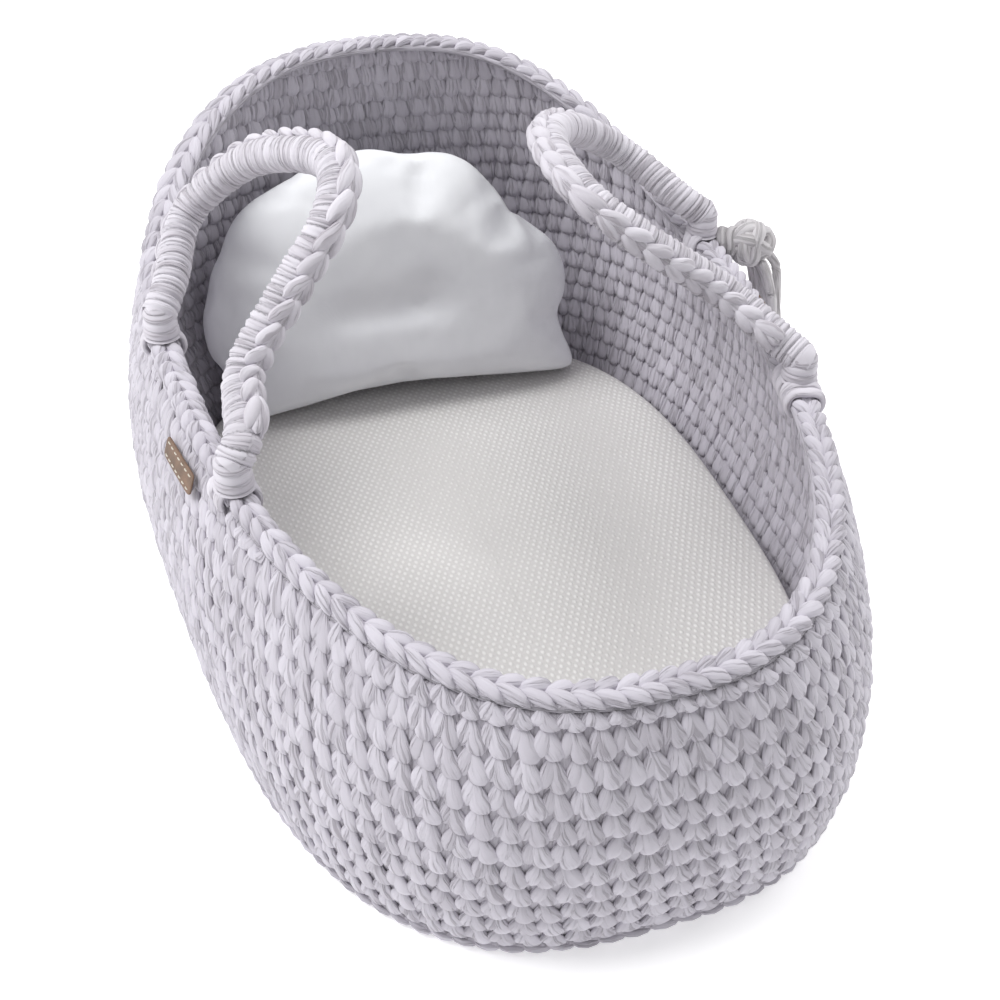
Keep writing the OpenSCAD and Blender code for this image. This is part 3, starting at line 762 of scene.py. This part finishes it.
MAT_LO, MAT_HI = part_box("mattress_cover")
m_lo, m_hi = MAT_LO[2], MAT_HI[2]
sides = 180
t = np.arange(sides) * 2 * math.pi / sides
innermost = HALF_W - 0.00005
prof = [(innermost, m_lo), (0.20, m_lo), (0.10, m_lo), (0.030, m_lo), (0.0280, m_lo + 0.0004),
        (0.0240, m_lo + 0.002),
        (0.0218, m_lo + 0.006), (0.0212, m_lo + 0.014), (0.0210, m_lo + 0.022), (0.0214, m_hi - 0.009),
        (0.0228, m_hi - 0.004), (0.0252, m_hi - 0.0014), (0.0290, m_hi - 0.0002), (0.034, m_hi + 0.0002),
        (0.045, m_hi + 0.0004), (0.060, m_hi), (0.08, m_hi), (0.10, m_hi), (0.12, m_hi), (0.14, m_hi),
        (0.16, m_hi), (0.18, m_hi), (0.20, m_hi), (0.22, m_hi), (0.24, m_hi), (0.26, m_hi),
        (innermost, m_hi)]
rings = []
for inset, height in prof:
    x, y = plan(t, 0.0, inset)
    wave = 0.0009 * np.sin(9 * x + 5 * y + 40 * inset) * (inset > 0.03) * (height > m_lo + 0.01)
    rings.append(np.stack([x, y, height + wave], -1))
cloth, nt, b = material("mattress_cloth_look", 0.85, 0.3)
vec = coords(nt, (128, 190, 128), (0, 0, math.radians(38)))
dots = nt.nodes.new("ShaderNodeTexVoronoi")
dots.inputs["Scale"].default_value = 1.0
dots.inputs["Randomness"].default_value = 0.12
nt.links.new(vec, dots.inputs["Vector"])
knob_height_and_gap_shade = ramp(nt, dots.outputs["Distance"], [(0.16, (1, 1, 1)), (0.40, (0, 0, 0))])
# colour darker in the gaps between the knobs and lighter on them: painted shade of the knit's relief
nt.links.new(ramp(nt, knob_height_and_gap_shade, [(0, (0.70, 0.685, 0.67)), (1, (0.88, 0.87, 0.855))]), b.inputs["Base Color"])
weave = noise(nt, coords(nt), 1400, 2)
n1 = bump(nt, knob_height_and_gap_shade, b, 0.7, 0.0008)
bump(nt, weave, b, 0.3, 0.0002, n1)
pad = build("mattress_pad", np.stack(rings), grid_faces(len(prof), sides, False, True), None, None, cloth,
            "mattress")
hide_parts("mattress_cover", "mattress_foam")

# ---- pillow ---------------------------------------------------------------

PILLOW_X, SLOPE = 0.255, math.radians(80)
P_LO, P_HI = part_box("pillow_cover")
# the lobes of the cloud in mm, run into each other: across, up the slope, radius
LOBES = [[128, 112, 80], [118, 143, 79], [100, 172, 80], [80, 180, 82], [55, 187, 86], [25, 190, 90],
         [0, 192, 84], [-35, 193, 78], [-58, 172, 76], [-80, 140, 82], [-95, 115, 88]]
bm = bmesh.new()


def slab(outline, depth):
    """A slab of the cloud: across and up the slope, to a depth either side of its middle."""
    lo = [bm.verts.new((x, y, -depth / 2)) for x, y in outline]
    hi = [bm.verts.new((x, y, depth / 2)) for x, y in outline]
    bm.faces.new(lo[::-1])
    bm.faces.new(hi)
    for i in range(len(lo)):
        j = (i + 1) % len(lo)
        bm.faces.new((lo[i], lo[j], hi[j], hi[i]))


for inset, depth in ((0.0, 0.020), (0.005, 0.036), (0.012, 0.050), (0.023, 0.062), (0.040, 0.072)):
    for x, y, rad in LOBES:
        edge = rad / 1000 - inset
        slab([(x / 1000 + edge * math.cos(a), y / 1000 + edge * math.sin(a))
              for a in np.linspace(0, 2 * math.pi, 48, endpoint=False)], depth)
    foot_line = 0.0145 + 0.5 * inset
    slab([(-0.188 + inset, foot_line), (0.196 - inset, foot_line), (0.200 - inset, 0.110),
          (-0.176 + inset, 0.110)], depth)
me = bpy.data.meshes.new("cloud_pillow")
bm.to_mesh(me)
bm.free()
# stood on its flat edge and leaned back, as the CAD has it
co = np.array([v.co for v in me.vertices])
across, up, out = co[:, 0], co[:, 1] - 0.014, co[:, 2] + 0.025
co = np.stack([PILLOW_X + out * math.sin(SLOPE) + up * math.cos(SLOPE), across,
               P_LO[2] - out * math.cos(SLOPE) + up * math.sin(SLOPE)], -1)
me.vertices.foreach_set("co", co.astype(np.float32).ravel())
pillow = bpy.data.objects.new("cloud_pillow", me)
scene.collection.objects.link(pillow)
bpy.context.view_layer.objects.active = pillow
for o in bpy.context.selected_objects:
    o.select_set(False)
pillow.select_set(True)
me.remesh_voxel_size = 0.006
bpy.ops.object.voxel_remesh()
me = pillow.data
n = len(me.vertices)
co = np.empty(n * 3, np.float32)
me.vertices.foreach_get("co", co)
co = co.reshape(-1, 3)
# soften the steps between the slabs, which also shrinks it before it swells
edges = np.empty(len(me.edges) * 2, np.int32)
me.edges.foreach_get("vertices", edges)
edges = edges.reshape(-1, 2)


def relax(p, times, k=0.5):
    deg = np.bincount(edges.ravel(), minlength=len(p))[:, None]
    for _ in range(times):
        acc = np.zeros_like(p)
        np.add.at(acc, edges[:, 0], p[edges[:, 1]])
        np.add.at(acc, edges[:, 1], p[edges[:, 0]])
        p = p + k * (acc / deg - p)
    return p


soft = relax(co.astype(np.float64), 12)
me.vertices.foreach_set("co", soft.astype(np.float32).ravel())
me.update()
start = soft.copy()
mod = pillow.modifiers.new("cloth", "CLOTH")
cs = mod.settings
cs.use_pressure = True
cs.uniform_pressure_force = 4.0
cs.effector_weights.gravity = 0.0
cs.quality = 5
cs.tension_stiffness = cs.compression_stiffness = 12
cs.bending_stiffness = 0.4
mod.point_cache.frame_start, mod.point_cache.frame_end = 1, 20
scene.frame_start, scene.frame_end = 1, 20
for fr in range(1, 21):
    scene.frame_set(fr)
dg = bpy.context.evaluated_depsgraph_get()
ev = pillow.evaluated_get(dg).data
moved = np.empty(n * 3, np.float32)
ev.vertices.foreach_get("co", moved)
moved = moved.reshape(-1, 3).astype(np.float64)
pillow.modifiers.clear()
scene.frame_set(1)
step = moved - start
far = np.linalg.norm(step, axis=1, keepdims=True)
step *= np.minimum(1, 0.016 / np.maximum(far, 1e-9))
soft = start + step
soft = relax(soft, 3)
low, high = soft.min(0), soft.max(0)
soft = np.array(P_LO) + (soft - low) * (np.array(P_HI) - np.array(P_LO)) / (high - low)
# rests flat on the mattress
soft[:, 2] = np.maximum(soft[:, 2], P_LO[2] + 0.0006)
me.vertices.foreach_set("co", soft.astype(np.float32).ravel())
me.update()
sub = pillow.modifiers.new("sub", "SUBSURF")
sub.levels = sub.render_levels = 1
bpy.ops.object.modifier_apply(modifier="sub")
me = pillow.data
me.polygons.foreach_set("use_smooth", np.ones(len(me.polygons), bool))
cotton, nt, b = material("pillow_cotton_look", 0.88, 0.25)
weave = nt.nodes.new("ShaderNodeTexWave")
weave.inputs["Scale"].default_value = 520
weave.inputs["Distortion"].default_value = 0.6
nt.links.new(coords(nt), weave.inputs["Vector"])
cross = nt.nodes.new("ShaderNodeTexWave")
cross.bands_direction = "Z"
cross.inputs["Scale"].default_value = 520
cross.inputs["Distortion"].default_value = 0.6
nt.links.new(coords(nt), cross.inputs["Vector"])
both = maths(nt, "ADD", weave.outputs["Fac"], cross.outputs["Fac"])
blot = noise(nt, coords(nt), 14, 3)
nt.links.new(ramp(nt, blot, [(0.3, (0.80, 0.81, 0.84)), (0.7, (0.86, 0.87, 0.895))]), b.inputs["Base Color"])
pucker = noise(nt, coords(nt, (1, 1, 0.6)), 26, 2)
n1 = bump(nt, pucker, b, 0.35, 0.006)
bump(nt, both, b, 0.15, 0.0002, n1)
me.materials.clear()
me.materials.append(cotton)
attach(pillow, "pillow")
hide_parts("pillow_cover", "pillow_filling")

# ---- carried-over CAD nodes -----------------------------------------------

rope, nt, b = material("rope_look", 0.85)
lay = nt.nodes.new("ShaderNodeTexWave")
lay.inputs["Scale"].default_value = 90
nt.links.new(coords(nt, rot=(0.6, 0.5, 0)), lay.inputs["Vector"])
nt.links.new(ramp(nt, lay.outputs["Fac"], [(0, (0.52, 0.46, 0.37)), (1, (0.78, 0.73, 0.63))]),
             b.inputs["Base Color"])
bump(nt, lay.outputs["Fac"], b, 0.6, 0.001)
ply, nt, b = material("plywood_look", 0.6)
ply_grain = nt.nodes.new("ShaderNodeTexWave")
ply_grain.inputs["Scale"].default_value = 12
ply_grain.inputs["Distortion"].default_value = 6
ply_grain.inputs["Detail"].default_value = 3
nt.links.new(coords(nt, (0.15, 1, 1)), ply_grain.inputs["Vector"])
nt.links.new(ramp(nt, ply_grain.outputs["Fac"], [(0, (0.55, 0.40, 0.24)), (1, (0.74, 0.60, 0.42))]),
             b.inputs["Base Color"])
bump(nt, ply_grain.outputs["Fac"], b, 0.2, 0.0003)
for name, mat in (("left_handle_rope", rope), ("right_handle_rope", rope), ("base_board", ply)):
    for sl in bpy.data.objects[name].material_slots:
        sl.material = mat

# ---- studio ---------------------------------------------------------------

bpy.ops.mesh.primitive_grid_add(x_subdivisions=2, y_subdivisions=2, size=40, location=(0, 0, 0))
floor = bpy.context.object
floor.name = "studio_floor"
fm, nt, b = material("studio_floor_look", 0.9)
b.inputs["Base Color"].default_value = (0.93, 0.93, 0.935, 1)
b.inputs["Emission Color"].default_value = (1, 1, 1, 1)
b.inputs["Emission Strength"].default_value = 0.38
b.inputs["Specular IOR Level"].default_value = 0.0
floor.data.materials.append(fm)

world = bpy.data.worlds.new("studio")
world.use_nodes = True
world.node_tree.nodes["Background"].inputs[0].default_value = (1.0, 1.0, 1.0, 1)
world.node_tree.nodes["Background"].inputs[1].default_value = 0.3
scene.world = world


def light(name, at, aim, size, power, colour=(1, 1, 1)):
    d = bpy.data.lights.new(name, "AREA")
    d.shape, d.size, d.energy, d.color = "DISK", size, power, colour
    o = bpy.data.objects.new(name, d)
    scene.collection.objects.link(o)
    o.location = at
    o.rotation_euler = (Vector(aim) - Vector(at)).to_track_quat("-Z", "Y").to_euler()


light("key", (0.3, 1.6, 2.6), (0, 0, 0.15), 1.8, 66)
light("key_low", (0, 2.6, 1.5), (0, 0, 0.15), 1.8, 6)
light("side", (0.3, -2.4, 2.0), (0, 0, 0.15), 1.8, 43)
light("fill", (-2.4, -0.4, 1.6), (0, 0, 0.15), 2.0, 4)
light("top", (0, 0, 3), (0, 0, 0.15), 1.6, 8.5)
